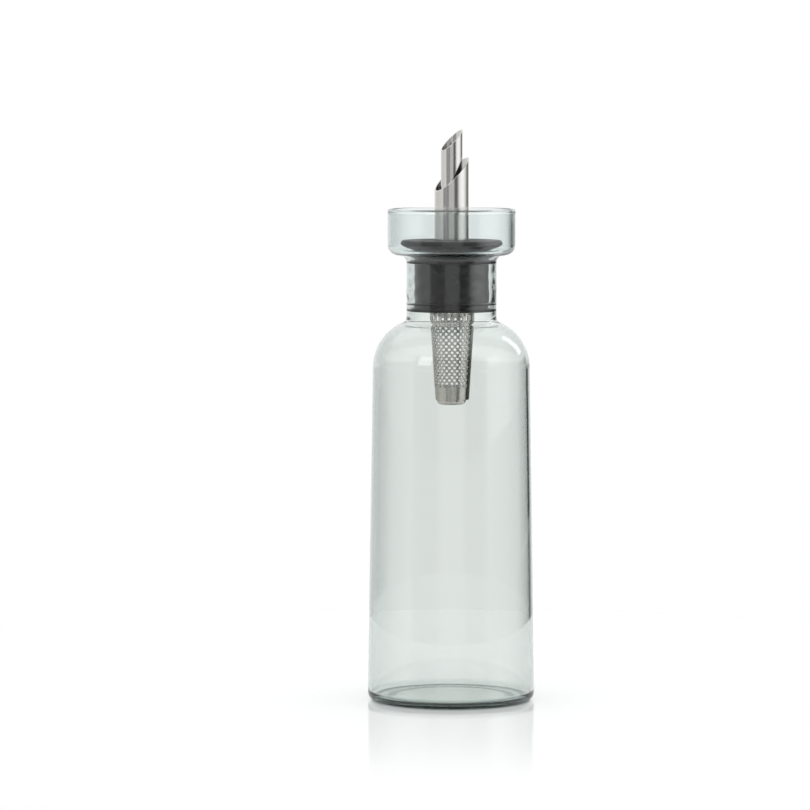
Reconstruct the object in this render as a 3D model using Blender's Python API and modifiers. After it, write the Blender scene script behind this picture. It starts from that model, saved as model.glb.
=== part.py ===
"""Oil dispenser: a glass bottle whose neck opens into a drip dish, closed by a
stopper with a twin-tube spout on top and a perforated sieve hanging below.

Metres, +Z up. The bottle stands on z = 0 and everything turned shares the axis
x = y = 0. The spout's high edges point to +X and a little to the back (+Y).
"""

import math

import bmesh
import bpy
from mathutils import Matrix, Vector

# Glass bottle
BASE_RADIUS = 0.0360          # outside, at the table
SHOULDER_RADIUS = 0.0338      # outside, where the shoulder begins
BODY_HEIGHT = 0.1438          # table to the start of the shoulder
SHOULDER_ARC = 0.0210
NECK_RADIUS = 0.0194          # outside
NECK_FOOT_FILLET = 0.0023
NECK_LENGTH = 0.0268          # fillet above the shoulder to the dish's underside
DISH_RADIUS = 0.0275          # outside
DISH_HEIGHT = 0.0199          # underside to rim
DISH_CORNER = 0.0046
DISH_FILLET = 0.0031
DISH_WALL = 0.0018            # of its side and its floor
GLASS_WALL = 0.0015
BEAD_RADIUS = 0.00095         # rounded rim
BASE_THICKNESS = 0.0018
BASE_CORNER = 0.0031          # outside
FLOOR_CORNER = 0.0026         # inside
FOOT_RING_WIDTH = 0.0055      # flat ring that the bottle stands on
BASE_RECESS = 0.0007

# Gap between neighbouring pieces, and between the rings that the glass is parted into
FIT = 0.0003

# Stopper, measured from the dish's underside
FLANGE_RADIUS = 0.0219
FLANGE_HEIGHT = 0.0065
FLANGE_SLOPE = math.radians(38)
FLANGE_EDGE = 0.0012          # rounding above and below
CORE_RADIUS = 0.0143
WEB_THICKNESS = 0.0030        # floor between the tubes and the sieve
SOCKET_DEPTH = 0.0090         # pocket for the top of the sieve
DRAIN_RADIUS = 0.0008         # holes that let drips back and air in
DRAIN_COUNT = 4

# Seal sleeve
SLEEVE_RADIUS = 0.0160
SLEEVE_LENGTH = 0.0238
TOP_LIP_HEIGHT = 0.0023
TOP_LIP_DROP = 0.0009         # sleeve top to the lip's top
BOTTOM_LIP_HEIGHT = 0.0012
MIDDLE_LIP_HEIGHT = 0.0007
LIP_GROOVE = 0.0016           # between the two lower lips

# Spout tubes
OUTER_TUBE_RADIUS = 0.00737
OUTER_TUBE_WALL = 0.0006
OUTER_MOUTH = 0.0346          # dish underside to the middle of the slanted mouth
INNER_TUBE_RADIUS = 0.00465
INNER_TUBE_WALL = 0.0005
INNER_MOUTH = 0.0493
INNER_TUBE_STEP = 0.0008      # how far the inner tube reaches below the web
MOUTH_SLOPE = math.radians(45)
MOUTH_DIRECTION = math.radians(22)   # from +X towards the back

# Ring that centres one tube in the other
SPACER_HEIGHT = 0.0040
SPACER_RISE = 0.0120          # web to the ring's lower face
SPACER_SLOT_WIDTH = 0.0020
SPACER_SLOT_COUNT = 3

# Sieve
SIEVE_TOP_RADIUS = 0.00985
SIEVE_BOTTOM_RADIUS = 0.00690
SIEVE_LENGTH = 0.0468
SIEVE_SHEET = 0.0003
SIEVE_PLAIN_BAND = 0.0056     # unpierced sheet at the lower end
SIEVE_SEAM = math.radians(75)        # from the front towards +X
HOLE_RADIUS = 0.0011
HOLE_PITCH_ACROSS = 0.0052
HOLE_PITCH_DOWN = 0.0026
CUP_DEPTH = 0.0090
CUP_DROP = 0.0022             # how far the cup sticks out below the cone
CUP_CORNER = 0.0018
CUP_SHEET = 0.0004

# Facets of a full turn, and of a rounded corner
GLASS_STEPS = 48
STOPPER_STEPS = 40
TUBE_STEPS = 32
SIEVE_STEPS = 24
CORNER_STEPS = 3
HOLE_SIDES = 6

# Heights and radii that follow from the sizes above
SHOULDER_CENTRE = SHOULDER_RADIUS - SHOULDER_ARC
FOOT_CENTRE = NECK_RADIUS + NECK_FOOT_FILLET
FOOT_ANGLE = math.acos((FOOT_CENTRE - SHOULDER_CENTRE) / (SHOULDER_ARC + NECK_FOOT_FILLET))
NECK_FOOT_Z = BODY_HEIGHT + (SHOULDER_ARC + NECK_FOOT_FILLET) * math.sin(FOOT_ANGLE)
DISH_Z = NECK_FOOT_Z + NECK_LENGTH
NECK_TOP = DISH_Z - DISH_FILLET
RIM_Z = DISH_Z + DISH_HEIGHT
STOPPER_BOTTOM = -FIT - SLEEVE_LENGTH
WEB_BOTTOM = STOPPER_BOTTOM + SOCKET_DEPTH
WEB_TOP = WEB_BOTTOM + WEB_THICKNESS
LIP_RADIUS = NECK_RADIUS - GLASS_WALL - FIT
SIEVE_TOP = WEB_BOTTOM - FIT
SIEVE_BOTTOM = SIEVE_TOP - SIEVE_LENGTH
OUTER_TUBE_BORE = OUTER_TUBE_RADIUS - OUTER_TUBE_WALL
INNER_TUBE_BORE = INNER_TUBE_RADIUS - INNER_TUBE_WALL


def clear_scene():
    for obj in list(bpy.data.objects):
        bpy.data.objects.remove(obj, do_unlink=True)


def new_collection(name):
    collection = bpy.data.collections.new(name)
    bpy.context.scene.collection.children.link(collection)
    return collection


def new_material(name, colour, roughness, metallic=0.0, transmission=0.0):
    material = bpy.data.materials.new(name)
    material.use_nodes = True
    shader = material.node_tree.nodes["Principled BSDF"]
    shader.inputs["Base Color"].default_value = (*colour, 1.0)
    shader.inputs["Roughness"].default_value = roughness
    shader.inputs["Metallic"].default_value = metallic
    shader.inputs["Transmission Weight"].default_value = transmission
    return material


def new_empty(name, height, parent=None):
    empty = bpy.data.objects.new(name, None)
    empty.empty_display_size = 0.01
    empty.location.z = height
    empty.parent = parent
    MODEL.objects.link(empty)
    return empty


def arc(centre, height, radius, start, end, steps=CORNER_STEPS, rise=None):
    """Points of an arc in the profile plane, angles in radians from +X.
    A rise makes it an oval of that half height."""
    if rise is None:
        rise = radius
    points = []
    for step in range(steps + 1):
        angle = start + (end - start) * step / steps
        points.append((centre + radius * math.cos(angle), height + rise * math.sin(angle)))
    return points


def rounded(corners, closed=False):
    """Outline through corners (radius, height, fillet); a zero fillet stays sharp."""
    points = []
    count = len(corners)
    for index, (x, z, fillet) in enumerate(corners):
        at_end = index in (0, count - 1)
        if fillet == 0 or (at_end and not closed):
            points.append((x, z))
            continue
        corner = Vector((x, z))
        before = (Vector(corners[index - 1][:2]) - corner).normalized()
        after = (Vector(corners[(index + 1) % count][:2]) - corner).normalized()
        half = before.angle(after) / 2
        centre = corner + (before + after).normalized() * fillet / math.sin(half)
        first = corner + before * fillet / math.tan(half) - centre
        last = corner + after * fillet / math.tan(half) - centre
        sweep = first.angle_signed(last)
        for step in range(CORNER_STEPS + 1):
            turn = Matrix.Rotation(-sweep * step / CORNER_STEPS, 2)
            points.append(tuple(centre + turn @ first))
    return points


def turned(name, outline, steps, material, parent=None, closed=True):
    """A solid of revolution: the outline at +X runs down its outer side."""
    mesh = bpy.data.meshes.new(name)
    count = len(outline)
    edges = [(index, index + 1) for index in range(count - 1)]
    if closed:
        edges.append((count - 1, 0))
    mesh.from_pydata([(x, 0.0, z) for x, z in outline], edges, [])
    obj = bpy.data.objects.new(name, mesh)
    obj.parent = parent
    MODEL.objects.link(obj)
    screw = obj.modifiers.new("Turn", "SCREW")
    screw.steps = steps
    screw.render_steps = steps
    screw.use_merge_vertices = True
    screw.merge_threshold = 0.00001
    mesh.materials.append(material)
    return obj


def cutter_from_bmesh(name, shape, parent=None):
    mesh = bpy.data.meshes.new(name)
    shape.to_mesh(mesh)
    shape.free()
    obj = bpy.data.objects.new(name, mesh)
    obj.parent = parent
    obj.hide_render = True
    obj.display_type = "WIRE"
    CUTTERS.objects.link(obj)
    return obj


def cut(obj, cutter):
    boolean = obj.modifiers.new("Cut", "BOOLEAN")
    boolean.operation = "DIFFERENCE"
    boolean.solver = "EXACT"
    boolean.object = cutter


def add_prism(shape, sides, radius, length, placement):
    bmesh.ops.create_cone(
        shape,
        cap_ends=True,
        segments=sides,
        radius1=radius,
        radius2=radius,
        depth=length,
        matrix=placement,
    )


def glass_ring(name, outer, inner, glass):
    """One ring of the glass; both of its sides run downwards."""
    return turned(name, outer + inner[::-1], GLASS_STEPS, glass)


def dish_side(wall=0.0, neck_wall=0.0):
    """Dish wall down to the top of the neck, moved in by the wall, which thins there."""
    dish = arc(
        DISH_RADIUS - DISH_CORNER, DISH_Z + DISH_CORNER, DISH_CORNER - wall,
        0.0, -math.pi / 2, CORNER_STEPS + 1,
    )
    throat = arc(
        NECK_RADIUS + DISH_FILLET, NECK_TOP, DISH_FILLET + neck_wall,
        math.pi / 2, math.pi, rise=DISH_FILLET + wall,
    )
    return dish + throat


def make_drip_dish(glass):
    rim = arc(
        DISH_RADIUS - BEAD_RADIUS, RIM_Z - BEAD_RADIUS, BEAD_RADIUS,
        math.radians(225), 0.0, CORNER_STEPS + 2,
    )
    inner_wall_top = (DISH_RADIUS - DISH_WALL, RIM_Z - 3 * BEAD_RADIUS)
    inner = [inner_wall_top] + dish_side(DISH_WALL, GLASS_WALL)
    return glass_ring("drip_dish", rim + dish_side(), inner, glass)


def make_neck(glass):
    top = NECK_TOP - FIT
    bottom = NECK_FOOT_Z + FIT
    bore = NECK_RADIUS - GLASS_WALL
    outer = [(NECK_RADIUS, top), (NECK_RADIUS, bottom)]
    return glass_ring("bottle_neck", outer, [(bore, top), (bore, bottom)], glass)


def shoulder_side(inset):
    """Foot of the neck down to the top of the body, moved inwards by inset."""
    foot = arc(
        FOOT_CENTRE, NECK_FOOT_Z, NECK_FOOT_FILLET + inset,
        math.pi, math.pi + FOOT_ANGLE,
    )
    shoulder = arc(
        SHOULDER_CENTRE, BODY_HEIGHT, SHOULDER_ARC - inset,
        FOOT_ANGLE, 0.0, 2 * CORNER_STEPS,
    )
    return foot[:-1] + shoulder


def make_shoulder(glass):
    return glass_ring("bottle_shoulder", shoulder_side(0.0), shoulder_side(GLASS_WALL), glass)


def make_body(glass):
    top = BODY_HEIGHT - FIT
    base = arc(BASE_RADIUS - BASE_CORNER, BASE_CORNER, BASE_CORNER, 0.0, -math.pi / 2)
    ring_inner = BASE_RADIUS - BASE_CORNER - FOOT_RING_WIDTH
    underside = [
        (ring_inner, 0.0),
        (ring_inner - BASE_RECESS, BASE_RECESS),
        (0.0, BASE_RECESS),
    ]
    floor = arc(
        BASE_RADIUS - GLASS_WALL - FLOOR_CORNER, BASE_THICKNESS + FLOOR_CORNER, FLOOR_CORNER,
        -math.pi / 2, 0.0,
    )
    outline = [(0.0, BASE_THICKNESS)] + floor
    outline += [(SHOULDER_RADIUS - GLASS_WALL, top), (SHOULDER_RADIUS, top)]
    outline += base + underside
    return turned("bottle_body", outline, GLASS_STEPS, glass, closed=False)


def make_bottle():
    """The glass is blown in one piece. Here it is four rings, parted level at the
    shoulder's foot and at both ends of the neck, so that each is one plain hollow."""
    glass = new_material("glass", (0.86, 0.90, 0.88), 0.03, transmission=1.0)
    make_body(glass)
    make_shoulder(glass)
    make_neck(glass)
    make_drip_dish(glass)


def make_seal_sleeve(parent):
    bottom = STOPPER_BOTTOM
    top = -FIT
    bore = CORE_RADIUS + FIT
    middle_lip = bottom + BOTTOM_LIP_HEIGHT + LIP_GROOVE
    lips = [
        (top - TOP_LIP_DROP, TOP_LIP_HEIGHT),
        (middle_lip + MIDDLE_LIP_HEIGHT, MIDDLE_LIP_HEIGHT),
    ]
    outline = [(bore, top), (SLEEVE_RADIUS, top)]
    for lip_top, height in lips:
        outline += [
            (SLEEVE_RADIUS, lip_top),
            (LIP_RADIUS, lip_top),
            (LIP_RADIUS, lip_top - height),
            (SLEEVE_RADIUS, lip_top - height),
        ]
    outline += [
        (SLEEVE_RADIUS, bottom + BOTTOM_LIP_HEIGHT),
        (LIP_RADIUS, bottom + BOTTOM_LIP_HEIGHT),
        (LIP_RADIUS, bottom),
        (bore, bottom),
    ]
    silicone = new_material("silicone", (0.075, 0.073, 0.078), 0.38)
    return turned("seal_sleeve", outline, STOPPER_STEPS, silicone, parent)


def make_stopper_core(parent):
    tube_bore = OUTER_TUBE_RADIUS + FIT
    inner_hole = INNER_TUBE_RADIUS + FIT
    socket = SIEVE_TOP_RADIUS + FIT
    slope_rise = (FLANGE_RADIUS - SLEEVE_RADIUS) * math.tan(FLANGE_SLOPE)
    corners = [
        (tube_bore, FLANGE_HEIGHT, 0),
        (FLANGE_RADIUS, FLANGE_HEIGHT, FLANGE_EDGE),
        (FLANGE_RADIUS, slope_rise, FLANGE_EDGE),
        (SLEEVE_RADIUS, 0.0, 0),
        (CORE_RADIUS, 0.0, 0),
        (CORE_RADIUS, STOPPER_BOTTOM, 0),
        (socket, STOPPER_BOTTOM, 0),
        (socket, WEB_BOTTOM, 0),
        (inner_hole, WEB_BOTTOM, 0),
        (inner_hole, WEB_TOP, 0),
        (tube_bore, WEB_TOP, 0),
    ]
    plastic = new_material("stopper plastic", (0.085, 0.083, 0.088), 0.32)
    core = turned("stopper_core", rounded(corners), STOPPER_STEPS, plastic, parent)
    drains = bmesh.new()
    for index in range(DRAIN_COUNT):
        angle = 2 * math.pi * (index + 0.5) / DRAIN_COUNT
        spot = (INNER_TUBE_RADIUS + OUTER_TUBE_BORE) / 2
        place = Matrix.Translation((
            spot * math.cos(angle), spot * math.sin(angle), (WEB_BOTTOM + WEB_TOP) / 2,
        ))
        add_prism(drains, 2 * HOLE_SIDES, DRAIN_RADIUS, 2 * WEB_THICKNESS, place)
    cut(core, cutter_from_bmesh("drain_cutter", drains, parent))
    return core


def make_tube(name, radius, wall, bottom, mouth, material, parent):
    """A tube whose upper end is sliced through (0, 0, mouth) on the slant."""
    top = mouth + 2 * radius * math.tan(MOUTH_SLOPE)
    outline = [(radius - wall, top), (radius, top), (radius, bottom), (radius - wall, bottom)]
    tube = turned(name, outline, TUBE_STEPS, material, parent)
    size = 8 * radius
    place = Matrix.Translation((0.0, 0.0, mouth))
    place @= Matrix.Rotation(MOUTH_DIRECTION, 4, "Z") @ Matrix.Rotation(-MOUTH_SLOPE, 4, "Y")
    place @= Matrix.Translation((0.0, 0.0, size / 2))
    block = bmesh.new()
    bmesh.ops.create_cube(block, size=size, matrix=place)
    cut(tube, cutter_from_bmesh(name + "_cutter", block, parent))
    return tube


def make_tube_spacer(parent):
    inner = INNER_TUBE_RADIUS + FIT
    outer = OUTER_TUBE_BORE - FIT
    bottom = WEB_TOP + SPACER_RISE
    top = bottom + SPACER_HEIGHT
    outline = [(inner, top), (outer, top), (outer, bottom), (inner, bottom)]
    plastic = new_material("spacer plastic", (0.55, 0.56, 0.56), 0.4)
    spacer = turned("tube_spacer", outline, TUBE_STEPS, plastic, parent)
    slots = bmesh.new()
    slot_depth = (outer - inner) / 2
    for index in range(SPACER_SLOT_COUNT):
        place = Matrix.Rotation(2 * math.pi * index / SPACER_SLOT_COUNT, 4, "Z")
        place @= Matrix.Translation((outer, 0.0, (bottom + top) / 2))
        place @= Matrix.Diagonal((2 * slot_depth, SPACER_SLOT_WIDTH, 2 * SPACER_HEIGHT, 1.0))
        bmesh.ops.create_cube(slots, size=1.0, matrix=place)
    cut(spacer, cutter_from_bmesh("spacer_slot_cutter", slots, parent))
    return spacer


def hole_places():
    """Centres of the sieve's holes: an even staggered pattern on the flat sheet,
    rolled into the cone with one column of holes at the front."""
    half_angle = math.atan((SIEVE_TOP_RADIUS - SIEVE_BOTTOM_RADIUS) / SIEVE_LENGTH)
    apex = SIEVE_TOP - SIEVE_TOP_RADIUS / math.tan(half_angle)
    low = (SIEVE_BOTTOM + SIEVE_PLAIN_BAND + HOLE_RADIUS - apex) / math.cos(half_angle)
    high = (SIEVE_TOP - 2 * HOLE_RADIUS - apex) / math.cos(half_angle)
    rows = int((high - low) / HOLE_PITCH_DOWN) + 1
    columns = int(math.pi * SIEVE_TOP_RADIUS / HOLE_PITCH_ACROSS) + 1
    for row in range(rows):
        shift = 0.5 if row % 2 else 0.0
        for column in range(-2 * columns, columns + 1):
            across = (column + shift) * HOLE_PITCH_ACROSS
            along = low + row * HOLE_PITCH_DOWN
            slant = math.hypot(across, along)
            turn = math.atan2(across, along) / math.sin(half_angle)
            radius = slant * math.sin(half_angle)
            seam_gap = min(SIEVE_SEAM - turn, turn - SIEVE_SEAM + 2 * math.pi) * radius
            if seam_gap > 1.5 * HOLE_RADIUS and slant < high:
                spot = Vector((radius, 0.0, apex + slant * math.cos(half_angle)))
                yield (
                    Matrix.Rotation(turn - math.pi / 2, 4, "Z")
                    @ Matrix.Translation(spot)
                    @ Matrix.Rotation(math.pi / 2 + half_angle, 4, "Y")
                )


def make_sieve_cone(parent, steel):
    outline = [
        (SIEVE_TOP_RADIUS - SIEVE_SHEET, SIEVE_TOP),
        (SIEVE_TOP_RADIUS, SIEVE_TOP),
        (SIEVE_BOTTOM_RADIUS, SIEVE_BOTTOM),
        (SIEVE_BOTTOM_RADIUS - SIEVE_SHEET, SIEVE_BOTTOM),
    ]
    cone = turned("sieve_cone", outline, SIEVE_STEPS, steel, parent)
    holes = bmesh.new()
    for place in hole_places():
        add_prism(holes, HOLE_SIDES, HOLE_RADIUS, 6 * SIEVE_SHEET, place)
    cut(cone, cutter_from_bmesh("hole_cutter", holes, parent))
    return cone


def make_sieve_cup(parent, steel):
    taper = (SIEVE_TOP_RADIUS - SIEVE_BOTTOM_RADIUS) / SIEVE_LENGTH
    bottom = SIEVE_BOTTOM - CUP_DROP
    top = bottom + CUP_DEPTH
    low_radius = SIEVE_BOTTOM_RADIUS - SIEVE_SHEET - FIT
    high_radius = low_radius + (top - SIEVE_BOTTOM) * taper
    inner_corner = CUP_CORNER - CUP_SHEET
    corners = [
        (0.0, bottom + CUP_SHEET, 0),
        (low_radius - CUP_SHEET, bottom + CUP_SHEET, inner_corner),
        (low_radius - CUP_SHEET, SIEVE_BOTTOM, 0),
        (high_radius - CUP_SHEET, top, 0),
        (high_radius, top, 0),
        (low_radius, SIEVE_BOTTOM, 0),
        (low_radius, bottom, CUP_CORNER),
        (0.0, bottom, 0),
    ]
    return turned("sieve_cup", rounded(corners), SIEVE_STEPS, steel, parent, closed=False)


def smooth_round_faces():
    """Shade every piece smooth, with sharp edges kept."""
    for obj in MODEL.objects:
        if obj.type == "MESH":
            obj.data.shade_smooth()
            obj.modifiers["Turn"].use_smooth_shade = True


def main():
    make_bottle()
    seal = new_empty("seal_origin", DISH_Z)
    stopper = new_empty("stopper_origin", 0.0, seal)
    sieve = new_empty("sieve_origin", 0.0, stopper)
    make_seal_sleeve(seal)
    make_stopper_core(stopper)
    spout_steel = new_material("spout steel", (0.62, 0.61, 0.59), 0.16, metallic=1.0)
    make_tube(
        "outer_tube", OUTER_TUBE_RADIUS, OUTER_TUBE_WALL, WEB_TOP + FIT, OUTER_MOUTH,
        spout_steel, stopper,
    )
    make_tube(
        "inner_tube", INNER_TUBE_RADIUS, INNER_TUBE_WALL, WEB_BOTTOM - INNER_TUBE_STEP,
        INNER_MOUTH, spout_steel, stopper,
    )
    make_tube_spacer(stopper)
    sieve_steel = new_material("sieve steel", (0.60, 0.58, 0.54), 0.28, metallic=1.0)
    make_sieve_cone(sieve, sieve_steel)
    make_sieve_cup(sieve, sieve_steel)
    smooth_round_faces()


clear_scene()
MODEL = new_collection("oil_dispenser")
CUTTERS = new_collection("cutters")
main()
print("dish underside", round(DISH_Z, 5), "rim", round(RIM_Z, 5))
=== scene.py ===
# %% [markdown]
# # A glass oil dispenser
# The bottle is blown glass with a shallow drip dish round its mouth. A dark
# stopper sits in the neck, two slanted steel tubes stand on it, and a cone of
# perforated steel hangs below it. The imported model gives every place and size;
# this script makes the fine surfaces that go over it.

# %% Load the frame
import math

import bmesh
import bpy
from mathutils import Matrix, Vector, noise


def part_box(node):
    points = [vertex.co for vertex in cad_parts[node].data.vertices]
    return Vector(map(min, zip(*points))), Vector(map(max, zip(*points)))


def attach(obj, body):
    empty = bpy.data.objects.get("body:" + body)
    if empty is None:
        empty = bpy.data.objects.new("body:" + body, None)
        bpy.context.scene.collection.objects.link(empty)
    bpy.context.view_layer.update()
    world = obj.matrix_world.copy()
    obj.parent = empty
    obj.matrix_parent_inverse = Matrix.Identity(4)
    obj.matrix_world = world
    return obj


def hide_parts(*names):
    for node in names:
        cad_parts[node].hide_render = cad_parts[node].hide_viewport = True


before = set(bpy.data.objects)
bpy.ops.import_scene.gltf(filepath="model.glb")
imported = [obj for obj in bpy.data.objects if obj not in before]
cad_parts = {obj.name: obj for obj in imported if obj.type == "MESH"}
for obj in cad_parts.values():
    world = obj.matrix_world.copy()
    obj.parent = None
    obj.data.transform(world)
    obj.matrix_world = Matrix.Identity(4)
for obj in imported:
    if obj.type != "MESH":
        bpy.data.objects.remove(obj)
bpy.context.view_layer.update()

MM = 0.001
print("pieces in the frame:", sorted(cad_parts))

# %% [markdown]
# ## Measures from the frame
# Every piece that is drawn here stands for a CAD node, and the bottle for four,
# so radii and heights are read from the nodes' boxes. Only what a box can't
# tell, such as a wall or a fillet, is written down, in millimetres.

# %% Read the sizes
def reach(node):
    """Lowest height, highest height and outer radius of a turned node."""
    low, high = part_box(node)
    return low.z, high.z, high.x


GLASS_NODES = ("bottle_body", "bottle_shoulder", "bottle_neck", "drip_dish")
BASE_RADIUS = reach("bottle_body")[2]
BODY_HEIGHT, NECK_FOOT_Z, SHOULDER_RADIUS = reach("bottle_shoulder")
NECK_RADIUS = reach("bottle_neck")[2]
NECK_TOP, RIM_Z, DISH_RADIUS = reach("drip_dish")
SLEEVE_LOW, SLEEVE_TOP, LIP_RADIUS = reach("seal_sleeve")
CORE_LOW, FLANGE_TOP, FLANGE_RADIUS = reach("stopper_core")
OUTER_LOW, OUTER_TIP, OUTER_RADIUS = reach("outer_tube")
INNER_LOW, INNER_TIP, INNER_RADIUS = reach("inner_tube")
SPACER_LOW, SPACER_TOP, SPACER_RADIUS = reach("tube_spacer")
CONE_LOW, CONE_TOP, CONE_TOP_RADIUS = reach("sieve_cone")
CUP_LOW, CUP_TOP, CUP_RADIUS = reach("sieve_cup")
FIT = 0.3 * MM                # gap between neighbouring pieces
print("rim at", round(RIM_Z / MM, 2), "mm, spout tip at", round(INNER_TIP / MM, 2), "mm")

# %% [markdown]
# ## Turned pieces
# Glass, plug, tubes and cup are all round, so each is an outline in the plane
# y = 0 that a Screw modifier turns about Z. The outline is built from straight
# runs and arcs, never from traced points, so its curves stay true when a
# radius changes. The result is kept as a mesh with its sharp edges marked.

# %% Outline helpers
def arc(centre, height, radius, start, end, steps, rise=None):
    """Points of an arc in the outline's plane, with its angles in degrees from +X.

    A rise makes it an oval of that half height.
    """
    if rise is None:
        rise = radius
    points = []
    for step in range(steps + 1):
        angle = math.radians(start + (end - start) * step / steps)
        across = centre + radius * math.cos(angle)
        points.append((across, height + rise * math.sin(angle)))
    return points


def rounded(corners, steps=6):
    """Outline through corners (radius, height, fillet); a zero fillet stays sharp."""
    points = []
    for index, (x, z, fillet) in enumerate(corners):
        if fillet == 0:
            points.append((x, z))
            continue
        corner = Vector((x, z))
        before = (Vector(corners[index - 1][:2]) - corner).normalized()
        after = (Vector(corners[(index + 1) % len(corners)][:2]) - corner).normalized()
        half = before.angle(after) / 2
        centre = corner + (before + after).normalized() * fillet / math.sin(half)
        first = corner + before * fillet / math.tan(half) - centre
        last = corner + after * fillet / math.tan(half) - centre
        sweep = first.angle_signed(last)
        for step in range(steps + 1):
            turn = Matrix.Rotation(-sweep * step / steps, 2)
            points.append(tuple(centre + turn @ first))
    return points


# %% Mesh helpers
SHARP_ANGLE = math.radians(38)


def new_object(name, data):
    """Put a mesh or a camera into the scene."""
    obj = bpy.data.objects.new(name, data)
    bpy.context.scene.collection.objects.link(obj)
    return obj


def mesh_from(shape, name):
    """Turn a finished bmesh into a mesh."""
    mesh = bpy.data.meshes.new(name)
    shape.to_mesh(mesh)
    shape.free()
    return mesh


def shade(mesh, sharp_angle=SHARP_ANGLE):
    """Shade a mesh smooth, with an edge wherever it turns by more than the angle."""
    mesh.shade_smooth()
    mesh.set_sharp_from_angle(angle=sharp_angle)


# %% Turning
HOLD = 0.25 * MM
LONG_RUN = 6 * HOLD
WELD = 1e-6


def held(outline):
    """Add a point near both ends of each long run, which keeps it flat when shaded."""
    points = [outline[0]]
    for first, last in zip(outline, outline[1:]):
        start, end = Vector(first), Vector(last)
        length = (end - start).length
        if length > LONG_RUN:
            points.append(tuple(start.lerp(end, HOLD / length)))
            points.append(tuple(end.lerp(start, HOLD / length)))
        points.append(last)
    return points


def as_mesh(obj, name):
    """Apply the object's modifiers and keep the result as a shaded mesh."""
    graph = bpy.context.evaluated_depsgraph_get()
    mesh = bpy.data.meshes.new_from_object(obj.evaluated_get(graph))
    mesh.name = name
    bpy.data.objects.remove(obj, do_unlink=True)
    shade(mesh)
    return new_object(name, mesh)


def turned(name, outline, steps, closed=True):
    """A solid of revolution; the outline at +X runs down its outer side."""
    mesh = bpy.data.meshes.new(name)
    outline = held(outline + outline[:1])[:-1] if closed else held(outline)
    count = len(outline)
    edges = [(index, index + 1) for index in range(count - 1)]
    if closed:
        edges.append((count - 1, 0))
    mesh.from_pydata([(x, 0.0, z) for x, z in outline], edges, [])
    obj = new_object(name + "_outline", mesh)
    screw = obj.modifiers.new("Turn", "SCREW")
    screw.steps = steps
    screw.render_steps = steps
    screw.use_merge_vertices = True
    screw.merge_threshold = WELD
    return as_mesh(obj, name)


def finish_piece(piece, material, body, nodes):
    """Give a piece its finish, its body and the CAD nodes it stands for."""
    piece.data.materials.clear()
    piece.data.materials.append(material)
    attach(piece, body)
    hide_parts(*nodes)
    print(piece.name, "has", len(piece.data.polygons), "faces")


# %% [markdown]
# ## Writing shaders as sums
# A node tree is easier to read as arithmetic. `Value` wraps one socket, and
# adding or multiplying two of them adds the Math node. `Recipe` makes every
# other node: its settings go in first, then its socket values or links.

# %% Shader helpers
WHITE = (1.0, 1.0, 1.0, 1.0)


class Value:
    """A shader socket that can be added, subtracted, multiplied and divided."""

    def __init__(self, recipe, socket):
        self.recipe = recipe
        self.socket = socket

    def __add__(self, other):
        return self.recipe.math("ADD", self, other)

    def __radd__(self, other):
        return self.recipe.math("ADD", other, self)

    def __sub__(self, other):
        return self.recipe.math("SUBTRACT", self, other)

    def __rsub__(self, other):
        return self.recipe.math("SUBTRACT", other, self)

    def __mul__(self, other):
        return self.recipe.math("MULTIPLY", self, other)

    def __rmul__(self, other):
        return self.recipe.math("MULTIPLY", other, self)

    def __truediv__(self, other):
        return self.recipe.math("DIVIDE", self, other)


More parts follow.
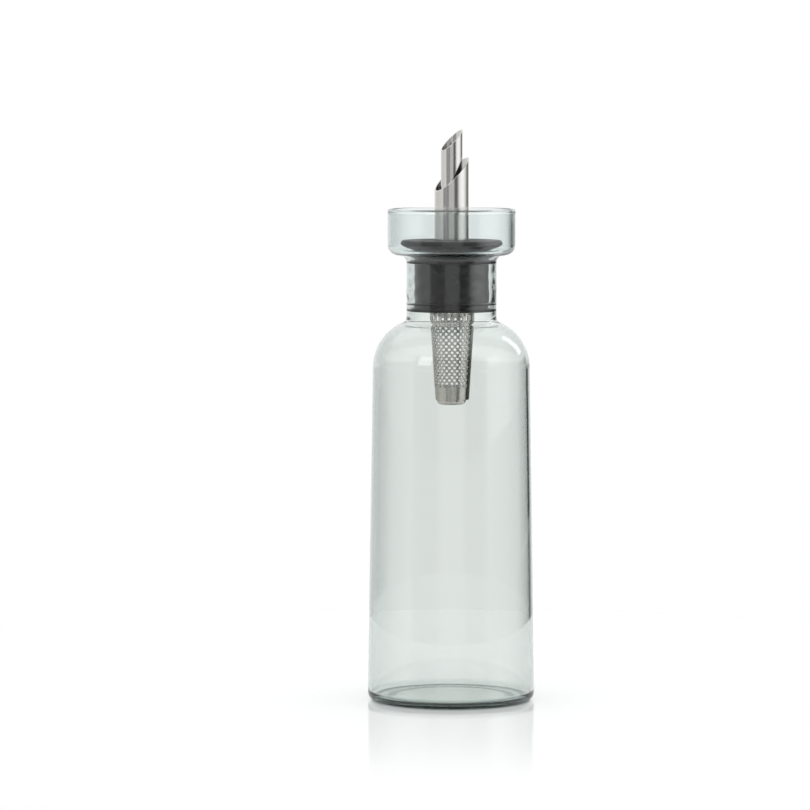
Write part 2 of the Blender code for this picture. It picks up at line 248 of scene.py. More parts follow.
class Recipe:
    """Makes the nodes of one material or world."""

    def __init__(self, tree):
        self.tree = tree
        tree.nodes.clear()

    def node(self, kind, settings=None, sockets=None, output=0):
        """Add a node, set it up, feed its sockets, and give back one output."""
        made = self.tree.nodes.new(kind)
        for name, value in (settings or {}).items():
            if name == "stops":
                self.set_stops(made.color_ramp, value)
            else:
                setattr(made, name, value)
        for name, value in (sockets or {}).items():
            if isinstance(value, Value):
                self.tree.links.new(value.socket, made.inputs[name])
            else:
                made.inputs[name].default_value = value
        return Value(self, made.outputs[output]) if made.outputs else made

    @staticmethod
    def set_stops(ramp, stops):
        while len(ramp.elements) < len(stops):
            ramp.elements.new(1.0)
        for element, (position, level) in zip(ramp.elements, stops):
            element.position = position
            element.color = (level, level, level, 1.0)

    def math(self, operation, first, second=0.0):
        return self.node("ShaderNodeMath", {"operation": operation}, {0: first, 1: second})

    def mix(self, factor, first, second):
        """Blend two colours."""
        sockets = {0: factor, 6: first, 7: second}
        return self.node("ShaderNodeMix", {"data_type": "RGBA"}, sockets, 2)

    def step(self, value, low, high, start=0.0, end=1.0):
        """A smooth change from start to end while value goes from low to high."""
        settings = {"interpolation_type": "SMOOTHSTEP"}
        sockets = {0: value, 1: low, 2: high, 3: start, 4: end}
        return self.node("ShaderNodeMapRange", settings, sockets)

    def noise(self, vector, scale, detail=2.0, roughness=0.5):
        sockets = {
            "Vector": vector, "Scale": scale, "Detail": detail, "Roughness": roughness,
        }
        return self.node("ShaderNodeTexNoise", {"noise_dimensions": "3D"}, sockets)

    def place(self):
        """The point on the piece, in metres."""
        return self.node("ShaderNodeTexCoord", output=3)

    def stretched(self, vector, stretch):
        """The same point with each axis scaled, which stretches a pattern."""
        settings = {"operation": "MULTIPLY"}
        return self.node("ShaderNodeVectorMath", settings, {0: vector, 1: stretch})

    def parts(self, vector):
        """X, Y and Z of a point."""
        split = self.node("ShaderNodeSeparateXYZ", sockets={0: vector})
        outputs = split.socket.node.outputs
        return [Value(self, outputs[index]) for index in range(3)]

    def radius(self, x, y):
        """Distance from the bottle's axis."""
        return self.math("SQRT", x * x + y * y)

    def light_path(self, *names):
        """What is known of the ray that asks, one value for each name."""
        outputs = self.node("ShaderNodeLightPath").socket.node.outputs
        return [Value(self, outputs[name]) for name in names]

    def bump(self, height, distance, strength):
        sockets = {"Height": height, "Distance": distance, "Strength": strength}
        return self.node("ShaderNodeBump", sockets=sockets)

    def surface(self, shader, kind="ShaderNodeOutputMaterial"):
        self.node(kind, sockets={0: shader})


def new_finish(name):
    material = bpy.data.materials.new(name)
    material.use_nodes = True
    return material, Recipe(material.node_tree)


# %% [markdown]
# ## Camera
# The photograph is taken from a little above the dish with a long lens, which
# shows the rim as a thin ellipse and keeps the sides nearly straight. The
# numbers are where such a camera stands.

# %% Place the camera
SENSOR = 36.0
FOCAL = 189.16
CAMERA_PLACE = Vector((-0.02007, -1.83, 0.26207))
CAMERA_PITCH = math.radians(-4.206)
CAMERA_ROLL = math.radians(-0.04)

camera_data = bpy.data.cameras.new("camera")
camera_data.sensor_width = SENSOR
camera_data.lens = FOCAL
camera = new_object("camera", camera_data)
camera.location = CAMERA_PLACE
camera.rotation_euler = (math.pi / 2 + CAMERA_PITCH, CAMERA_ROLL, 0.0)
bpy.context.scene.camera = camera
print("camera", round(CAMERA_PLACE.length, 3), "m from the bottle's foot")

# %% [markdown]
# ## Studio
# Glass and polished steel have no colour of their own to speak of: they show
# the room. So the room is drawn as bands round the horizon, as the softboxes
# and the dark gaps between them stand in a studio. The glass and the steel
# parts stand at different heights and slants, so they mirror different levels
# of the room, and each gets its own bands. A few patches are single lamps and
# black flags. The camera itself sees plain white, and so does a ray that has
# only passed through the glass, except low behind the bottle, where the flags
# that draw the glass's edges stand.

# %% List the bands and lamps
# Each entry is an azimuth, in degrees from the front towards the right, and the
# level of the room there.
NECK_BANDS = [
    (-180, 1.08), (-160, 1.0), (-142, 0.80), (-122, 0.62), (-107, 0.64), (-94, 0.72),
    (-75, 0.80), (-60, 0.88), (-56, 0.20), (-20, 0.20), (-15, 0.60), (18, 0.60),
    (22, 0.09), (43, 0.09), (50, 0.50), (56, 1.15), (70, 1.60), (90, 1.50),
    (102, 0.95), (116, 0.60), (170, 1.08),
]
BODY_BANDS = [
    (-180, 1.0), (-160, 0.88), (-142, 0.68), (-122, 0.48), (-107, 0.46), (-94, 0.55),
    (-75, 0.66), (-60, 0.80), (-56, 0.40), (-20, 0.40), (-15, 0.70), (18, 0.70),
    (22, 0.42), (41, 0.42), (47, 0.60), (54, 0.86), (90, 0.80), (102, 0.70),
    (116, 0.55), (170, 1.0),
]
STEEL_BANDS = [
    (-180, 1.0), (-62, 1.0), (-57, 0.46), (-50, 0.44), (-43, 0.68), (-34, 0.68),
    (-27, 0.42), (-20, 0.46), (-15, 0.82), (-6, 0.78), (-1, 0.52), (4, 0.76),
    (12, 0.76), (18, 0.09), (38, 0.09), (43, 0.95), (50, 1.25), (90, 1.25),
    (106, 0.90), (115, 0.55), (136, 0.50), (170, 1.0),
]
PATCHES = [
    # azimuth, half width, its soft edge, from and to elevation, its soft edge, level
    (152, 8, 8, -3.1, -1.8, 0.4, 0.45),
    (133.5, 8, 10, -3.1, -1.8, 0.4, 0.08),
    (137, 14, 11, -5.2, -3.3, 0.3, 0.03),
    (135, 9, 22, -10, -5.5, 0.3, 0.05),
    (133.5, 8, 10, 0.5, 4, 3, 0.08),
    (132, 4, 2, 13, 37, 2, 3.2),
    (-42, 7, 7, 14, 28, 7, 3.0),
    (68, 7, 7, 12, 22, 7, 2.2),
]
print("bands:", len(NECK_BANDS + BODY_BANDS + STEEL_BANDS), "and patches:", len(PATCHES))

# %% Draw the studio
TUBE_LEVEL = -1.55            # elevations, in degrees, between one part's view
BODY_LEVEL = -3.2             # of the room and the next one's
SIEVE_LEVEL = -8.5
SOFT = 0.1                    # half of a soft change between two of them
SIEVE_SOFT = 0.2
TUBE_END = (0.2, 0.5)         # where the tubes' view of the room fades out
SIEVE_SHIFT = 20.0            # how far the sieve's bands are turned
CEILING = (24, 40)            # where the bands give way to the ceiling
CEILING_LEVEL = 1.12
BEHIND = (100, 118)           # azimuths where the room behind the bottle begins


def band_ramp(make, azimuth, bands):
    stops = [((angle + 180) / 360, level) for angle, level in bands]
    return make.node("ShaderNodeValToRGB", {"stops": stops}, {0: azimuth / 360 + 0.5})


def make_world():
    world = bpy.data.worlds.new("studio")
    world.use_nodes = True
    make = Recipe(world.node_tree)
    x, y, z = make.parts(make.node("ShaderNodeTexCoord", output=0))
    azimuth = make.math("DEGREES", make.math("ARCTAN2", x, 0.0 - y))
    elevation = make.math("DEGREES", make.math("ARCSINE", z))
    near_tubes = make.step(elevation, TUBE_LEVEL - SOFT, TUBE_LEVEL + SOFT)
    near_tubes = near_tubes * make.step(elevation, *TUBE_END, 1.0, 0.0)
    above_sieve = make.step(elevation, SIEVE_LEVEL - SIEVE_SOFT, SIEVE_LEVEL + SIEVE_SOFT)
    near_sieve = 1.0 - above_sieve
    near_neck = make.step(elevation, BODY_LEVEL - SOFT, BODY_LEVEL + SOFT)
    neck_room = band_ramp(make, azimuth, NECK_BANDS)
    body_room = band_ramp(make, azimuth, BODY_BANDS)
    glass_room = make.mix(near_neck, body_room, neck_room)
    steel_room = band_ramp(make, azimuth - SIEVE_SHIFT * near_sieve, STEEL_BANDS)
    room = make.mix(near_tubes + near_sieve, glass_room, steel_room)
    ceiling = (CEILING_LEVEL, CEILING_LEVEL, CEILING_LEVEL, 1.0)
    room = make.mix(make.step(elevation, *CEILING), room, ceiling)
    for side, half_width, soft_side, low, high, soft_end, level in PATCHES:
        across = make.math("ABSOLUTE", azimuth - side)
        mask = make.step(across, half_width, half_width + soft_side, 1.0, 0.0)
        mask = mask * make.step(elevation, low - soft_end, low)
        mask = mask * make.step(elevation, high, high + soft_end, 1.0, 0.0)
        room = make.mix(mask, room, (level, level, level, 1.0))
    seen, mirrored, scattered = make.light_path(
        "Is Camera Ray", "Glossy Depth", "Diffuse Depth",
    )
    # Both counts are 0 for a ray that has only gone straight on or through glass.
    straight = make.step(mirrored + scattered, 0.4, 0.6, 1.0, 0.0)
    behind = make.step(make.math("ABSOLUTE", azimuth), *BEHIND)
    open_view = straight * (1.0 - behind * above_sieve)
    colour = make.mix(make.math("MAXIMUM", seen, open_view), room, WHITE)
    background = make.node("ShaderNodeBackground", sockets={0: colour, 1: 1.0})
    make.surface(background, "ShaderNodeOutputWorld")
    bpy.context.scene.world = world


make_world()
bpy.context.scene.view_settings.view_transform = "Standard"

# %% [markdown]
# The floor is a white board, polished where the bottle stands and matte towards
# the front, so the bottle's mirror image fades out as it does in the picture.

# %% Lay the floor
FLOOR_RADIUS = 0.32
FLOOR_STEPS = 96
FLOOR_GAP = 0.05 * MM
MATTE_Y = -0.25
POLISHED_Y = -0.06
BOARD_WHITE = (0.95, 0.95, 0.95, 1.0)


def make_floor():
    shape = bmesh.new()
    bmesh.ops.create_circle(
        shape, cap_ends=True, segments=FLOOR_STEPS, radius=FLOOR_RADIUS,
    )
    floor = new_object("floor", mesh_from(shape, "floor"))
    floor.location.z = -FLOOR_GAP
    material, make = new_finish("white board")
    y = make.parts(make.place())[1]
    matte = make.node("ShaderNodeBsdfDiffuse", sockets={0: BOARD_WHITE})
    glossy = make.node("ShaderNodeBsdfPrincipled", sockets={
        "Base Color": (0.95, 0.95, 0.955, 1.0), "Roughness": 0.03, "IOR": 1.4,
    })
    polish = make.step(y, MATTE_Y, POLISHED_Y)
    make.surface(make.node("ShaderNodeMixShader", sockets={0: polish, 1: matte, 2: glossy}))
    floor.data.materials.append(material)


make_floor()

# %% [markdown]
# ## Bottle glass
# The glass has a faint grey-green tint, and it is the depth of glass that gives
# it: the flat of a wall is nearly clear, and the edges, where one looks along the
# wall, go darker. So the tint is an absorption inside the solid and not a colour
# on its skin. The skin isn't quite flat, because the bottle was blown: slow
# ripples bend the reflections a little. Lamps are let straight through, which
# keeps the light in the bottle free of noise.

# %% Make the glass finish
ABSORPTION = 200.0
GLASS_TINT = (0.547, 0.664, 0.650, 1.0)
SHADOW_TINT = (0.9, 0.92, 0.91, 1.0)
BODY_TINT = (0.985, 0.978, 0.965, 1.0)
BODY_TINT_END = (160 * MM, 190 * MM)     # heights between which it fades out
# Painted shade: a thin ring at the glass's foot goes nearly black, which draws the dark
# contact line where the glass meets the board.
CONTACT_SHADE_PAINT = (0.02, 0.02, 0.02, 1.0)      # the line where the glass meets the board
CONTACT_SHADE_TOP = (0.2 * MM, 0.6 * MM)
CONTACT_SHADE_EDGE = (30 * MM, 31.5 * MM)
RIPPLE_DEPTH = 0.10 * MM


def make_glass():
    material, make = new_finish("bottle_glass")
    place = make.place()
    x, y, z = make.parts(place)
    slow = make.noise(place, 22.0, 1.0)
    fine = make.noise(place, 70.0, 2.0)
    ripples = make.bump(slow * 0.8 + fine * 0.2, RIPPLE_DEPTH, 0.5)
    smears = make.step(make.noise(place, 45.0, 3.0), 0.55, 0.80, 0.0, 0.012)
    # Painted shade mask: low on the glass and near its edge, where the contact line is
    # painted.
    foot = make.step(z, *CONTACT_SHADE_TOP, 1.0, 0.0) * make.step(make.radius(x, y), *CONTACT_SHADE_EDGE)
    tint = make.mix(make.step(z, *BODY_TINT_END), BODY_TINT, WHITE)
    glass = make.node("ShaderNodeBsdfPrincipled", sockets={
        "Base Color": make.mix(foot, tint, CONTACT_SHADE_PAINT),
        "Roughness": smears,
        "IOR": 1.47,
        "Transmission Weight": 1.0,
        "Normal": ripples,
    })
    clear = make.node("ShaderNodeBsdfTransparent", sockets={0: SHADOW_TINT})
    shadow = make.light_path("Is Shadow Ray")[0]
    surface = make.node("ShaderNodeMixShader", sockets={0: shadow, 1: glass, 2: clear})
    depth = {"Color": GLASS_TINT, "Density": ABSORPTION}
    inside = make.node("ShaderNodeVolumeAbsorption", sockets=depth)
    make.node("ShaderNodeOutputMaterial", sockets={"Surface": surface, "Volume": inside})
    return material


bottle_glass = make_glass()

# %% [markdown]
# The bottle is one wall with two faces. Its outside runs from the rim round the
# dish, in at the neck and out over the shoulder; its inside is the same line
# moved in by the wall. In the neck the inside is a little wavy, because glass
# that is drawn in over a former doesn't lie flat on it. The model parts the
# glass level into four rings; here it is whole, and stands for all of them.

# %% Measure the bottle
WALL = 1.5 * MM
DISH_WALL = 1.8 * MM
SHOULDER_ARC = 21.0 * MM
NECK_FOOT_FILLET = 2.3 * MM
INNER_FOOT_FILLET = 5.6 * MM
DISH_CORNER = 4.6 * MM
DISH_FILLET = 3.1 * MM
DISH_Z = NECK_TOP + DISH_FILLET
BEAD = 0.95 * MM              # radius of the rim
BEAD_START = 215              # degrees; the inner wall runs into the rim from here
BEAD_BLEND = 2.4 * BEAD
BASE_THICKNESS = 1.8 * MM
BASE_CORNER = 3.1 * MM
FLOOR_CORNER = 2.6 * MM
FOOT_RING = 5.5 * MM
RECESS = 0.7 * MM
print("the dish is", round((RIM_Z - DISH_Z) / MM, 1), "mm high outside")

# %% Draw the bottle's sides
DISH_STEPS = 16
NECK_STEPS = 40
FOOT_STEPS = 14
SHOULDER_STEPS = 28


def dish_side(wall=0.0, neck_wall=0.0):
    """Dish wall down to the neck, moved in by the wall, which thins towards the neck."""
    dish = arc(
        DISH_RADIUS - DISH_CORNER, DISH_Z + DISH_CORNER, DISH_CORNER - wall,
        0, -90, DISH_STEPS,
    )
    throat = arc(
        NECK_RADIUS + DISH_FILLET, NECK_TOP, DISH_FILLET + neck_wall,
        90, 180, DISH_STEPS, DISH_FILLET + wall,
    )
    return dish + throat


def neck_side(wall, fillet):
    """Neck and shoulder down to the body, moved in by the wall."""
    shoulder_centre = SHOULDER_RADIUS - SHOULDER_ARC
    shoulder_arc = SHOULDER_ARC - wall
    across = NECK_RADIUS - wall + fillet - shoulder_centre
    angle = math.acos(across / (shoulder_arc + fillet))
    foot_z = BODY_HEIGHT + (shoulder_arc + fillet) * math.sin(angle)
    angle = math.degrees(angle)
    neck = [
        (NECK_RADIUS - wall, NECK_TOP + (foot_z - NECK_TOP) * step / NECK_STEPS)
        for step in range(1, NECK_STEPS)
    ]
    foot = arc(shoulder_centre + across, foot_z, fillet, 180, 180 + angle, FOOT_STEPS)
    shoulder = arc(shoulder_centre, BODY_HEIGHT, shoulder_arc, angle, 0, SHOULDER_STEPS)
    return neck + foot[:-1] + shoulder


# %% Shape the bottle
WAVES = 0.12 * MM             # how far the neck's inside waves
WAVE_LENGTH = 5 * MM
WAVE_SQUASH = 1.5             # waves are shorter along the neck than round it
RIM_STEPS = 18
BASE_STEPS = 12
GLASS_STEPS = 224


def wave_neck(bottle):
    """Move the inside of the neck in and out a little."""
    for vertex in bottle.data.vertices:
        x, y, z = vertex.co
        radius = math.hypot(x, y)
        share = (z - NECK_FOOT_Z) / (NECK_TOP - NECK_FOOT_Z)
        if 0 < share < 1 and radius < NECK_RADIUS - WALL / 2:
            swell = noise.noise(Vector((x, y, WAVE_SQUASH * z)) / WAVE_LENGTH) * WAVES
            vertex.co *= 1 + swell * math.sin(math.pi * share) / radius
            vertex.co.z = z


def make_bottle():
    rim = arc(DISH_RADIUS - BEAD, RIM_Z - BEAD, BEAD, BEAD_START, 0, RIM_STEPS)
    inner_top = (DISH_RADIUS - DISH_WALL, RIM_Z - BEAD_BLEND)
    base = arc(BASE_RADIUS - BASE_CORNER, BASE_CORNER, BASE_CORNER, 0, -90, BASE_STEPS)
    ring_inner = BASE_RADIUS - BASE_CORNER - FOOT_RING
    # The recess begins at a slant, so the ring has no hard inner edge.
    underside = [
        (ring_inner, 0.0),
        (ring_inner - 2 * RECESS, RECESS * 0.7),
        (ring_inner - 5 * RECESS, RECESS),
        (0.0, RECESS),
    ]
    floor = arc(
        BASE_RADIUS - WALL - FLOOR_CORNER, BASE_THICKNESS + FLOOR_CORNER, FLOOR_CORNER,
        -90, 0, BASE_STEPS,
    )
    inside = [inner_top] + dish_side(DISH_WALL, WALL)
    inside += neck_side(WALL, INNER_FOOT_FILLET)
    outline = [(0.0, BASE_THICKNESS)] + floor + inside[::-1]
    outline += rim + dish_side() + neck_side(0.0, NECK_FOOT_FILLET) + base + underside
    bottle = turned("bottle_glass_body", outline, GLASS_STEPS, closed=False)
    wave_neck(bottle)
    finish_piece(bottle, bottle_glass, "bottle", GLASS_NODES)


make_bottle()

# %% [markdown]
# ## Stopper plastic and seal silicone
# Both are nearly black. The plastic is moulded with a fine satin grain, and the
# silicone is smoother but picks up dust, so it goes a little greyer in places.

# %% Make the dark finishes
def make_stopper_plastic():
    material, make = new_finish("stopper_plastic")
    place = make.place()
    grain = make.noise(place, 2600.0, 3.0, 0.6)
    cloud = make.noise(place, 120.0, 3.0)
    colour = make.mix(cloud, (0.016, 0.015, 0.016, 1.0), (0.026, 0.024, 0.025, 1.0))
    rough = make.step(cloud, 0.3, 0.7, 0.46, 0.54) + grain * 0.06
    shader = make.node("ShaderNodeBsdfPrincipled", sockets={
        "Base Color": colour,
        "Roughness": rough,
        "IOR": 1.5,
        "Normal": make.bump(grain, 0.004 * MM, 0.5),
    })
    make.surface(shader)
    return material


def make_silicone():
    material, make = new_finish("seal_silicone")
    place = make.place()
    dust = make.step(make.noise(place, 900.0, 4.0, 0.7), 0.56, 0.74)
    cloud = make.noise(place, 90.0, 2.0)
    clean = make.mix(cloud, (0.015, 0.0125, 0.0125, 1.0), (0.023, 0.019, 0.019, 1.0))
    dusty = make.mix(dust * 0.15, clean, (0.08, 0.076, 0.072, 1.0))
    shader = make.node("ShaderNodeBsdfPrincipled", sockets={
        "Base Color": dusty,
        "Roughness": 0.24 + cloud * 0.10 + dust * 0.15,
        "IOR": 1.46,
        "Normal": make.bump(make.noise(place, 1500.0, 2.0), 0.002 * MM, 0.5),
    })
    make.surface(shader)
    return material


stopper_plastic = make_stopper_plastic()
seal_silicone = make_silicone()

# %% [markdown]
# The sleeve is stretched over the plug. It seals with three lips: one near the
# flange and two at the foot. The lips press on the glass, and where they do it
# looks dark right out to the neck's edge, so here they reach a hair into it.

# %% Shape the sleeve
SLEEVE_RADIUS = 16.0 * MM
CORE_RADIUS = 14.3 * MM
SQUEEZE = 0.07 * MM           # how far a lip reaches into the glass
SEAL_RADIUS = LIP_RADIUS + FIT + SQUEEZE
LIP_EDGE = 0.28 * MM
LIP_ROOT = 0.35 * MM
LIPS = [
    # top and bottom of the two upper lips
    (SLEEVE_TOP - 0.9 * MM, SLEEVE_TOP - 3.2 * MM),
    (SLEEVE_LOW + 3.5 * MM, SLEEVE_LOW + 2.8 * MM),
]
LOWEST_LIP_TOP = SLEEVE_LOW + 1.2 * MM
STOPPER_STEPS = 160


def make_sleeve():
    bore = CORE_RADIUS + FIT
    corners = [(bore, SLEEVE_TOP, LIP_EDGE), (SLEEVE_RADIUS, SLEEVE_TOP, LIP_EDGE)]
    for top, bottom in LIPS:
        corners += [
            (SLEEVE_RADIUS, top, LIP_ROOT),
            (SEAL_RADIUS, top, LIP_EDGE),
            (SEAL_RADIUS, bottom, LIP_EDGE),
            (SLEEVE_RADIUS, bottom, LIP_ROOT),
        ]
    corners += [
        (SLEEVE_RADIUS, LOWEST_LIP_TOP, LIP_ROOT),
        (SEAL_RADIUS, LOWEST_LIP_TOP, LIP_EDGE),
        (SEAL_RADIUS, SLEEVE_LOW, LIP_EDGE),
        (bore, SLEEVE_LOW, LIP_EDGE),
    ]
    sleeve = turned("seal_sleeve_silicone", rounded(corners), STOPPER_STEPS)
    finish_piece(sleeve, seal_silicone, "seal", ["seal_sleeve"])


make_sleeve()

# %% [markdown]
# The core is one moulding: a flange with a sloping underside that covers the
# dish's floor, a plug, a bore for the tubes, and a pocket for the sieve with a
# web between them. Four small holes in the web let drips back and air in.

# %% Drilling
def cut_holes(obj, places, radius, length, sides, name):
    """Drill a round hole at each place, along that place's Z axis."""
    shape = bmesh.new()
    for place in places:
        bmesh.ops.create_cone(
            shape, cap_ends=True, segments=sides, radius1=radius, radius2=radius,
            depth=length, matrix=place,
        )
    drill = new_object("drill", mesh_from(shape, "drill"))
    boolean = obj.modifiers.new("Holes", "BOOLEAN")
    boolean.operation = "DIFFERENCE"
    boolean.solver = "EXACT"
    boolean.object = drill
    made = as_mesh(obj, name)
    bpy.data.objects.remove(drill, do_unlink=True)
    return made


# %% Shape the core
FLANGE_SLOPE = math.radians(38)
FLANGE_TOP_EDGE = 1.4 * MM
FLANGE_LOW_EDGE = 0.8 * MM
CORE_EDGE = 0.25 * MM
SOCKET_DEPTH = 9.0 * MM
WEB_THICKNESS = 3.0 * MM
WEB_LOW = CORE_LOW + SOCKET_DEPTH
WEB_TOP = WEB_LOW + WEB_THICKNESS
OUTER_WALL = 0.6 * MM
DRAIN_RADIUS = 0.8 * MM
DRAIN_COUNT = 4
DRAIN_SIDES = 24


def make_core():
    tube_bore = OUTER_RADIUS + FIT
    hole = INNER_RADIUS + FIT
    socket = CONE_TOP_RADIUS + FIT
    shoulder = SLEEVE_TOP + FIT
    slope_top = shoulder + (FLANGE_RADIUS - SLEEVE_RADIUS) * math.tan(FLANGE_SLOPE)
    corners = [
        (tube_bore, FLANGE_TOP, CORE_EDGE),
        (FLANGE_RADIUS, FLANGE_TOP, FLANGE_TOP_EDGE),
        (FLANGE_RADIUS, slope_top, FLANGE_LOW_EDGE),
        (SLEEVE_RADIUS, shoulder, CORE_EDGE),
        (CORE_RADIUS, shoulder, 0),
        (CORE_RADIUS, CORE_LOW, CORE_EDGE),
        (socket, CORE_LOW, CORE_EDGE),
        (socket, WEB_LOW, 0),
        (hole, WEB_LOW, 0),
        (hole, WEB_TOP, 0),
        (tube_bore, WEB_TOP, 0),
    ]
    core = turned("stopper_core_blank", rounded(corners), STOPPER_STEPS)
    ring = (INNER_RADIUS + OUTER_RADIUS - OUTER_WALL) / 2
    places = []
    for index in range(DRAIN_COUNT):
        angle = 2 * math.pi * (index + 0.5) / DRAIN_COUNT
        spot = (ring * math.cos(angle), ring * math.sin(angle), (WEB_LOW + WEB_TOP) / 2)
        places.append(Matrix.Translation(spot))
    core = cut_holes(
        core, places, DRAIN_RADIUS, 2 * WEB_THICKNESS, DRAIN_SIDES, "stopper_core_moulding",
    )
    finish_piece(core, stopper_plastic, "stopper", ["stopper_core"])


make_core()

# %% [markdown]
# ## Steel
# The tubes are drawn and polished: along their length run lines finer than the
# eye can part, which spread a reflection sideways only. The noise is stretched
# along Z for that. The sieve's sheet is duller, rolled stock. Its inside is
# painted pale and matte, painted light that stands in for the daylight seen
# through the holes; it scatters what light comes in and shines through them.

# %% Make the steel finishes
CONE_LOW_RADIUS = 6.9 * MM
CONE_HALF_ANGLE = math.atan((CONE_TOP_RADIUS - CONE_LOW_RADIUS) / (CONE_TOP - CONE_LOW))
SKIN = 0.1 * MM               # depth over which the outer finish gives way to the inner
# Painted light: the pale matte colour of the sheet's inside, for the daylight seen through
# the holes.
PAINTED_INSIDE_LIGHT = (0.95, 0.95, 0.94, 1.0)


def cone_radius(z, low_radius=CONE_LOW_RADIUS):
    """Radius of the cone's outside, or of a cone beside it, at a height."""
    return low_radius + (z - CONE_LOW) * math.tan(CONE_HALF_ANGLE)


def make_spout_steel():
    material, make = new_finish("spout_steel")
    place = make.place()
    lines = make.noise(make.stretched(place, (1.0, 1.0, 0.02)), 2400.0, 3.0, 0.6)
    cloud = make.noise(place, 160.0, 3.0)
    colour = make.mix(cloud, (0.63, 0.62, 0.60, 1.0), (0.69, 0.68, 0.66, 1.0))
    shader = make.node("ShaderNodeBsdfPrincipled", sockets={
        "Base Color": colour,
        "Metallic": 1.0,
        "Roughness": 0.07 + lines * 0.10 + cloud * 0.05,
        "Normal": make.bump(lines, 0.004 * MM, 0.5),
    })
    make.surface(shader)
    return material


def make_sieve_steel(name, low_radius, shade=1.0):
    """Sheet steel, painted pale where the radius is less than the wall's, inside: painted
    light for the daylight seen through the holes.
    """
    material, make = new_finish(name)
    place = make.place()
    x, y, z = make.parts(place)
    grain = make.noise(make.stretched(place, (1.0, 1.0, 0.25)), 1900.0, 3.0, 0.6)
    cloud = make.noise(place, 220.0, 3.0)
    depth = cone_radius(z, low_radius) - make.radius(x, y)
    inside = make.step(depth, 0.0, SKIN) * make.step(z, CONE_LOW, CONE_LOW + SKIN)
    # A shade below 1 darkens the steel's colour: painted shade, used for the seam's lap.
    dull = (0.50 * shade, 0.48 * shade, 0.44 * shade, 1.0)
    bright = (0.60 * shade, 0.58 * shade, 0.54 * shade, 1.0)
    colour = make.mix(cloud, dull, bright)
    shader = make.node("ShaderNodeBsdfPrincipled", sockets={
        "Base Color": make.mix(inside, colour, PAINTED_INSIDE_LIGHT),
        "Metallic": 1.0 - inside,
        "Roughness": 0.10 + grain * 0.12 + cloud * 0.06 + inside * 0.4,
        "Normal": make.bump(grain, 0.004 * MM, 0.5),
    })
    make.surface(shader)
    return material


spout_steel = make_spout_steel()

# %% [markdown]
# Each tube is cut off on the slant, like a quill. It is turned too long, sliced
# with one plane, and the two rims of the cut are bridged. A hair-fine bevel on
# the cut catches the light, as a deburred edge does.

# %% Shape the tubes
INNER_WALL = 0.5 * MM
MOUTH_SLOPE = math.radians(45)
MOUTH_TURN = math.radians(22)
MOUTH_SHARP = math.radians(12)
DEBURR = 0.07 * MM
TUBE_STEPS = 144
SPARE = 4                     # radii by which a tube is turned too long


def slice_mouth(tube, middle):
    """Cut the tube's top off through (0, 0, middle), and close the cut wall."""
    normal = Matrix.Rotation(MOUTH_TURN, 3, "Z") @ Matrix.Rotation(-MOUTH_SLOPE, 3, "Y")
    normal = normal @ Vector((0.0, 0.0, 1.0))
    shape = bmesh.new()
    shape.from_mesh(tube.data)
    everything = shape.verts[:] + shape.edges[:] + shape.faces[:]
    sliced = bmesh.ops.bisect_plane(
        shape, geom=everything, plane_co=(0.0, 0.0, middle), plane_no=normal,
        clear_outer=True,
    )
    cut = sliced["geom_cut"]
    edges = [item for item in cut if isinstance(item, bmesh.types.BMEdge)]
    bmesh.ops.bridge_loops(shape, edges=edges)
    rim = [edge for edge in edges if edge.is_valid]
    bmesh.ops.bevel(
        shape, geom=rim, offset=DEBURR, segments=2, profile=0.5, affect="EDGES",
        clamp_overlap=True,
    )
    bmesh.ops.recalc_face_normals(shape, faces=shape.faces)
    shape.to_mesh(tube.data)
    shape.free()
    shade(tube.data, MOUTH_SHARP)


def make_tube(name, node, radius, wall, low, tip):
    outline = rounded([
        (radius - wall, tip + SPARE * radius, 0),
        (radius, tip + SPARE * radius, 0),
        (radius, low, wall / 3),
        (radius - wall, low, wall / 3),
    ], steps=3)
    tube = turned(name, outline, TUBE_STEPS)
    slice_mouth(tube, tip - radius * math.tan(MOUTH_SLOPE))
    finish_piece(tube, spout_steel, "stopper", [node])


make_tube(
    "outer_tube_steel", "outer_tube", OUTER_RADIUS, OUTER_WALL, OUTER_LOW, OUTER_TIP,
)
make_tube(
    "inner_tube_steel", "inner_tube", INNER_RADIUS, INNER_WALL, INNER_LOW, INNER_TIP,
)

# %% [markdown]
# A slotted ring deep in the outer tube keeps the inner one in its middle. It is
# plain, unpigmented plastic, a little cloudy.

# %% Make the spacer's finish
def make_spacer_plastic():
    material, make = new_finish("spacer_plastic")
    cloud = make.noise(make.place(), 300.0, 3.0)
    shader = make.node("ShaderNodeBsdfPrincipled", sockets={
        "Base Color": make.mix(cloud, (0.50, 0.51, 0.50, 1.0), (0.62, 0.63, 0.62, 1.0)),
        "Roughness": 0.30 + cloud * 0.2,
        "Normal": make.bump(cloud, 0.02 * MM, 0.4),
    })
    make.surface(shader)
    return material


# %% Shape the spacer
SPACER_EDGE = 0.15 * MM
SPACER_STEPS = 96
SLOT_COUNT = 3
SLOT_WIDTH = 2.0 * MM
SLOT_CENTRE = SPACER_RADIUS + 0.15 * MM
SLOT_LENGTH = 8.0 * MM
SLOT_SIDES = 20


def make_spacer():
    inner = INNER_RADIUS + FIT
    outline = rounded([
        (inner, SPACER_TOP, SPACER_EDGE),
        (SPACER_RADIUS, SPACER_TOP, SPACER_EDGE),
        (SPACER_RADIUS, SPACER_LOW, SPACER_EDGE),
        (inner, SPACER_LOW, SPACER_EDGE),
    ], steps=3)
    blank = turned("spacer_blank", outline, SPACER_STEPS)
    middle = (SPACER_LOW + SPACER_TOP) / 2
    places = []
    for index in range(SLOT_COUNT):
        turn = Matrix.Rotation(2 * math.pi * index / SLOT_COUNT, 4, "Z")
        places.append(turn @ Matrix.Translation((SLOT_CENTRE, 0.0, middle)))
    spacer = cut_holes(
        blank, places, SLOT_WIDTH / 2, SLOT_LENGTH, SLOT_SIDES, "tube_spacer_ring",
    )
    plastic = make_spacer_plastic()
    finish_piece(spacer, plastic, "stopper", ["tube_spacer"])


make_spacer()

